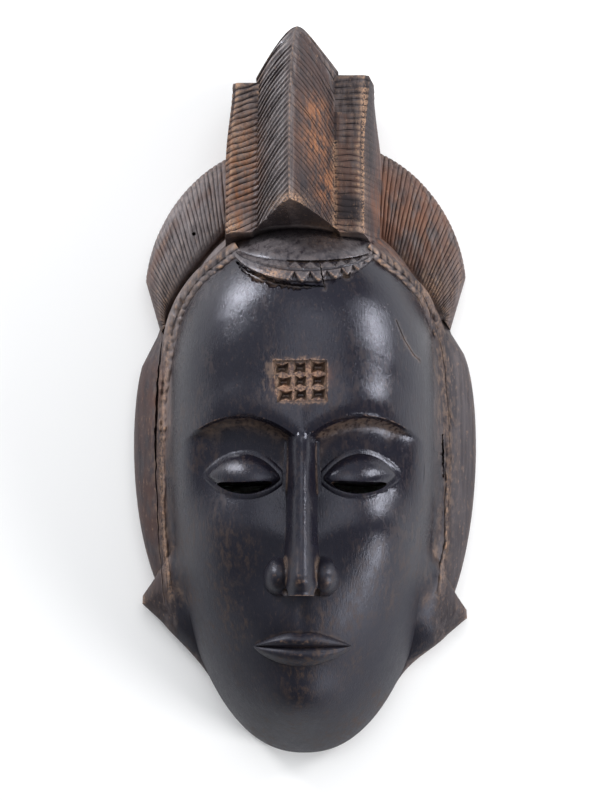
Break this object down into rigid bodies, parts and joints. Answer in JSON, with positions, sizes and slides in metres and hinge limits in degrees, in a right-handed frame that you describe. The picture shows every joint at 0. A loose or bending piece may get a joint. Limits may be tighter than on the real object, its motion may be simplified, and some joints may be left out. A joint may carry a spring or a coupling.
{
  "type": "carved face mask",
  "caption": "Carved wooden face mask with lowered eyes, hollow behind, under a tall grooved keel crest with fan-shaped lobes of hair; it lies on its flat back.",
  "frame": {"origin": "in the plane of the flat back rim, at the middle of the mask's width and length", "axes": "+X to the viewer's right, +Y from the chin to the peak of the crest, +Z out of the face"},
  "size_m": [0.1909, 0.4, 0.114],
  "materials": {
    "mask": "dark, worn and oiled wood"
  },
  "bodies": {
    "root": {"mask": "mask"}
  },
  "joints": []
}
